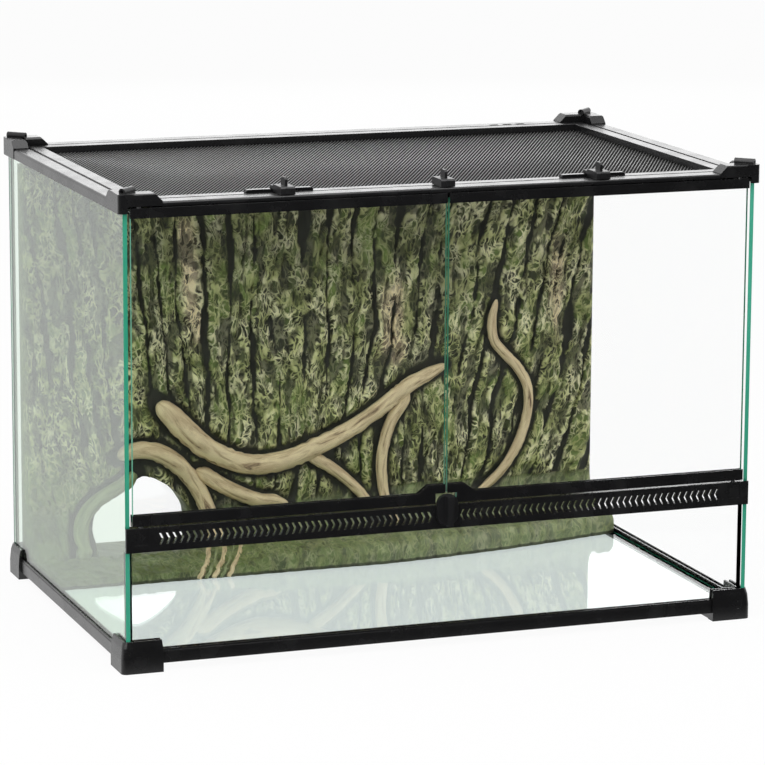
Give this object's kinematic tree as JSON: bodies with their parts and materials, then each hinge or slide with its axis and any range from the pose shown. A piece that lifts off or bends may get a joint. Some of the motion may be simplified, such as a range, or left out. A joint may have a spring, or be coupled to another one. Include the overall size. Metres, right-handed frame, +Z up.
{
  "type": "reptile terrarium",
  "caption": "Front-opening glass terrarium with hinged doors over a chevron vent strip, a turn latch, a lift-off screen lid with sliding locks, and a moulded bark and root background.",
  "frame": {"origin": "on the floor plane, in the middle of the outline seen from above; the turn latch at the front counts in the outline", "axes": "+X to the right seen from the front, along the longest side; -Y towards the doors, +Y towards the bark background, along the shortest side; +Z up"},
  "size_m": [0.61, 0.412, 0.4358],
  "materials": {
    "frame_plastic": "satin black moulded plastic",
    "trim_plastic": "satin black extruded plastic",
    "latch_plastic": "fine matte black plastic",
    "pane_glass": "clear float glass with a green edge",
    "steel_pin": "drawn steel",
    "seal_silicone": "clear silicone, slightly cloudy",
    "mesh_steel": "black coated wire mesh",
    "spline_rubber": "soft black cord",
    "bark_foam": "painted moulded foam, mossy brown and green"
  },
  "bodies": {
    "enclosure": {"foot_front_left": "frame_plastic", "foot_front_right": "frame_plastic", "foot_rear_left": "frame_plastic", "foot_rear_right": "frame_plastic", "rail_low_front": "frame_plastic", "rail_low_rear": "frame_plastic", "rail_low_left": "frame_plastic", "rail_low_right": "frame_plastic", "floor_pane": "pane_glass", "side_pane_left": "pane_glass", "side_pane_right": "pane_glass", "rear_pane": "pane_glass", "lower_front_pane": "pane_glass", "vent_strip": "frame_plastic", "hinge_socket_left": "frame_plastic", "hinge_socket_right": "frame_plastic", "latch_pivot": "steel_pin", "cap_front_left": "frame_plastic", "cap_front_right": "frame_plastic", "cap_rear_left": "frame_plastic", "cap_rear_right": "frame_plastic", "rail_top_front": "frame_plastic", "rail_top_rear": "frame_plastic", "rail_top_left": "frame_plastic", "rail_top_right": "frame_plastic", "corner_seals": "seal_silicone", "bark_background": "bark_foam"},
    "left_door": {"door_pane_left": "pane_glass", "door_trim_low_left": "trim_plastic", "door_trim_top_left": "trim_plastic", "hinge_blocks_left": "trim_plastic", "hinge_pins_left": "steel_pin"},
    "right_door": {"door_pane_right": "pane_glass", "door_trim_low_right": "trim_plastic", "door_trim_top_right": "trim_plastic", "hinge_blocks_right": "trim_plastic", "hinge_pins_right": "steel_pin"},
    "latch": {"turn_latch": "latch_plastic"},
    "lid": {"lid_bar_front": "frame_plastic", "lid_bar_rear": "frame_plastic", "lid_bar_left": "frame_plastic", "lid_bar_right": "frame_plastic", "lid_mesh": "mesh_steel", "mesh_spline": "spline_rubber", "lock_track_left": "frame_plastic", "lock_track_right": "frame_plastic"},
    "left_lock": {"lid_lock_left": "latch_plastic"},
    "right_lock": {"lid_lock_right": "latch_plastic"},
    "middle_lock": {"lid_lock_middle": "latch_plastic"}
  },
  "joints": [
    {"name": "left_door_hinge", "type": "hinge", "parent": "enclosure", "child": "left_door", "pos_m": [-0.286, -0.19, 0], "axis": [0, 0, -1], "range_deg": [0, 115]},
    {"name": "right_door_hinge", "type": "hinge", "parent": "enclosure", "child": "right_door", "pos_m": [0.286, -0.19, 0], "axis": [0, 0, 1], "range_deg": [0, 115]},
    {"name": "latch_turn", "type": "hinge", "parent": "enclosure", "child": "latch", "pos_m": [0, -0.194, 0.1215], "axis": [0, 1, 0], "range_deg": [0, 90]},
    {"name": "lid_lift", "type": "slide", "parent": "enclosure", "child": "lid", "axis": [0, 0, 1], "range_m": [0, 0.08]},
    {"name": "left_lock_slide", "type": "slide", "parent": "lid", "child": "left_lock", "axis": [1, 0, 0], "range_m": [-0.02, 0.02]},
    {"name": "middle_lock_slide", "type": "slide", "parent": "lid", "child": "middle_lock", "axis": [1, 0, 0], "range_m": [-0.006, 0.006]},
    {"name": "right_lock_slide", "type": "slide", "parent": "lid", "child": "right_lock", "axis": [1, 0, 0], "range_m": [-0.02, 0.02]}
  ]
}
